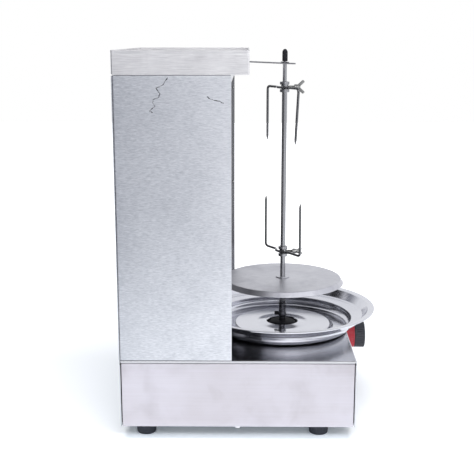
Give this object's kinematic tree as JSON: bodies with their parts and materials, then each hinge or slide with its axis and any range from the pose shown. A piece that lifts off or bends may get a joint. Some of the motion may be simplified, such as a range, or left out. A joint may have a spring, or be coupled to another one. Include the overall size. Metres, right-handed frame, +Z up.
{
  "type": "vertical rotisserie broiler",
  "caption": "Counter-top vertical rotisserie broiler: steel base, heater column with tray, turning spit with forks and meat plate, drip pan, front knob.",
  "frame": {"origin": "on the floor, at the centre of the object's box in X and Y", "axes": "+X to the front, the side with the control knob; -X to the back; +Y to the far side; +Z up along the spit"},
  "size_m": [0.4084, 0.35, 0.5737],
  "materials": {
    "base_wrap_steel": "mirror-polished stainless sheet",
    "side_panel_steel": "brushed stainless sheet with faint smudges",
    "column_panel_steel": "brushed stainless sheet, vertical grain, light scratches",
    "tray_steel": "brushed stainless sheet, horizontal grain",
    "reflector_steel": "polished reflector sheet",
    "pan_steel": "mirror-polished spun stainless",
    "plate_steel": "matt brushed stainless",
    "rod_steel": "ground round bar",
    "zinc_steel": "zinc-plated steel",
    "black_plastic": "black moulded plastic",
    "red_plastic": "red moulded plastic",
    "foot_rubber": "black rubber",
    "heater_sheath": "oxidised heater sheath",
    "ceramic": "unglazed ceramic",
    "motor_casting": "die-cast gearbox housing",
    "nylon": "natural nylon"
  },
  "bodies": {
    "frame": {"base_shell": "base_wrap_steel", "side_panel_near": "side_panel_steel", "side_panel_far": "side_panel_steel", "bottom_plate": "zinc_steel", "seal_flange": "black_plastic", "gearbox": "motor_casting", "motor_can": "zinc_steel", "motor_bracket": "zinc_steel", "cable_gland": "black_plastic", "terminal_block": "nylon", "control_switch": "nylon", "rocker_bezel": "black_plastic", "column_panel_near": "column_panel_steel", "column_panel_far": "column_panel_steel", "column_back": "column_panel_steel", "back_screw_near": "zinc_steel", "back_screw_far": "zinc_steel", "column_cap": "base_wrap_steel", "reflector": "reflector_steel", "heater_shelf": "reflector_steel", "heater_near": "heater_sheath", "heater_far": "heater_sheath", "heater_hook_near": "zinc_steel", "heater_hook_far": "zinc_steel", "top_tray": "tray_steel", "arm_bar": "tray_steel", "arm_bracket": "zinc_steel", "arm_bush": "nylon", "foot_rear_near": "foot_rubber", "foot_rear_far": "foot_rubber", "foot_front_near": "foot_rubber", "foot_front_far": "foot_rubber", "rivet_low_near": "zinc_steel", "rivet_low_far": "zinc_steel", "rivet_high_near": "zinc_steel", "rivet_high_far": "zinc_steel", "heater_bush_near_1": "ceramic", "heater_bush_near_2": "ceramic", "heater_bush_far_1": "ceramic", "heater_bush_far_2": "ceramic"},
    "drive": {"drive_socket": "rod_steel"},
    "pinch_screw": {"drive_screw": "black_plastic"},
    "spit": {"spit_rod": "rod_steel", "spit_cap": "black_plastic", "meat_plate": "plate_steel", "plate_hub": "plate_steel"},
    "upper_fork": {"upper_fork_collar": "rod_steel", "upper_fork_left": "rod_steel", "upper_fork_right": "rod_steel"},
    "upper_screw": {"upper_wing_screw": "zinc_steel"},
    "lower_fork": {"lower_fork_collar": "rod_steel", "lower_fork_left": "rod_steel", "lower_fork_right": "rod_steel"},
    "lower_screw": {"lower_wing_screw": "zinc_steel"},
    "pan": {"drip_pan": "pan_steel"},
    "knob": {"control_knob": "black_plastic", "dial_drum": "red_plastic", "knob_shaft": "zinc_steel"},
    "rocker": {"rocker_button": "red_plastic"}
  },
  "joints": [
    {"name": "drive_spin", "type": "hinge", "parent": "frame", "child": "drive", "pos_m": [0.05425, 0, 0.126], "axis": [0, 0, 1], "continuous": true},
    {"name": "pinch_screw_turn", "type": "hinge", "parent": "drive", "child": "pinch_screw", "pos_m": [0.04425, 0, 0.1468], "axis": [-1, 0, 0], "range_deg": [-540, 0]},
    {"name": "spit_lift", "type": "slide", "parent": "drive", "child": "spit", "axis": [0, 0, 1], "range_m": [0, 0.02]},
    {"name": "upper_fork_slide", "type": "slide", "parent": "spit", "child": "upper_fork", "axis": [0, 0, 1], "range_m": [-0.06, 0]},
    {"name": "upper_screw_turn", "type": "hinge", "parent": "upper_fork", "child": "upper_screw", "pos_m": [0.05425, 0, 0.51515], "axis": [1, 0, 0], "range_deg": [-540, 0]},
    {"name": "lower_fork_slide", "type": "slide", "parent": "spit", "child": "lower_fork", "axis": [0, 0, 1], "range_m": [-0.03, 0.025]},
    {"name": "lower_screw_turn", "type": "hinge", "parent": "lower_fork", "child": "lower_screw", "pos_m": [0.05425, 0, 0.25165], "axis": [1, 0, 0], "range_deg": [-540, 0]},
    {"name": "pan_lift", "type": "slide", "parent": "frame", "child": "pan", "axis": [0, 0, 1], "range_m": [0, 0.03]},
    {"name": "knob_turn", "type": "hinge", "parent": "frame", "child": "knob", "pos_m": [0.15775, 0.045, 0.096], "axis": [1, 0, 0], "range_deg": [-270, 0]},
    {"name": "rocker_tip", "type": "hinge", "parent": "frame", "child": "rocker", "pos_m": [0.15775, -0.075, 0.066], "axis": [0, -1, 0], "range_deg": [0, 18]}
  ]
}
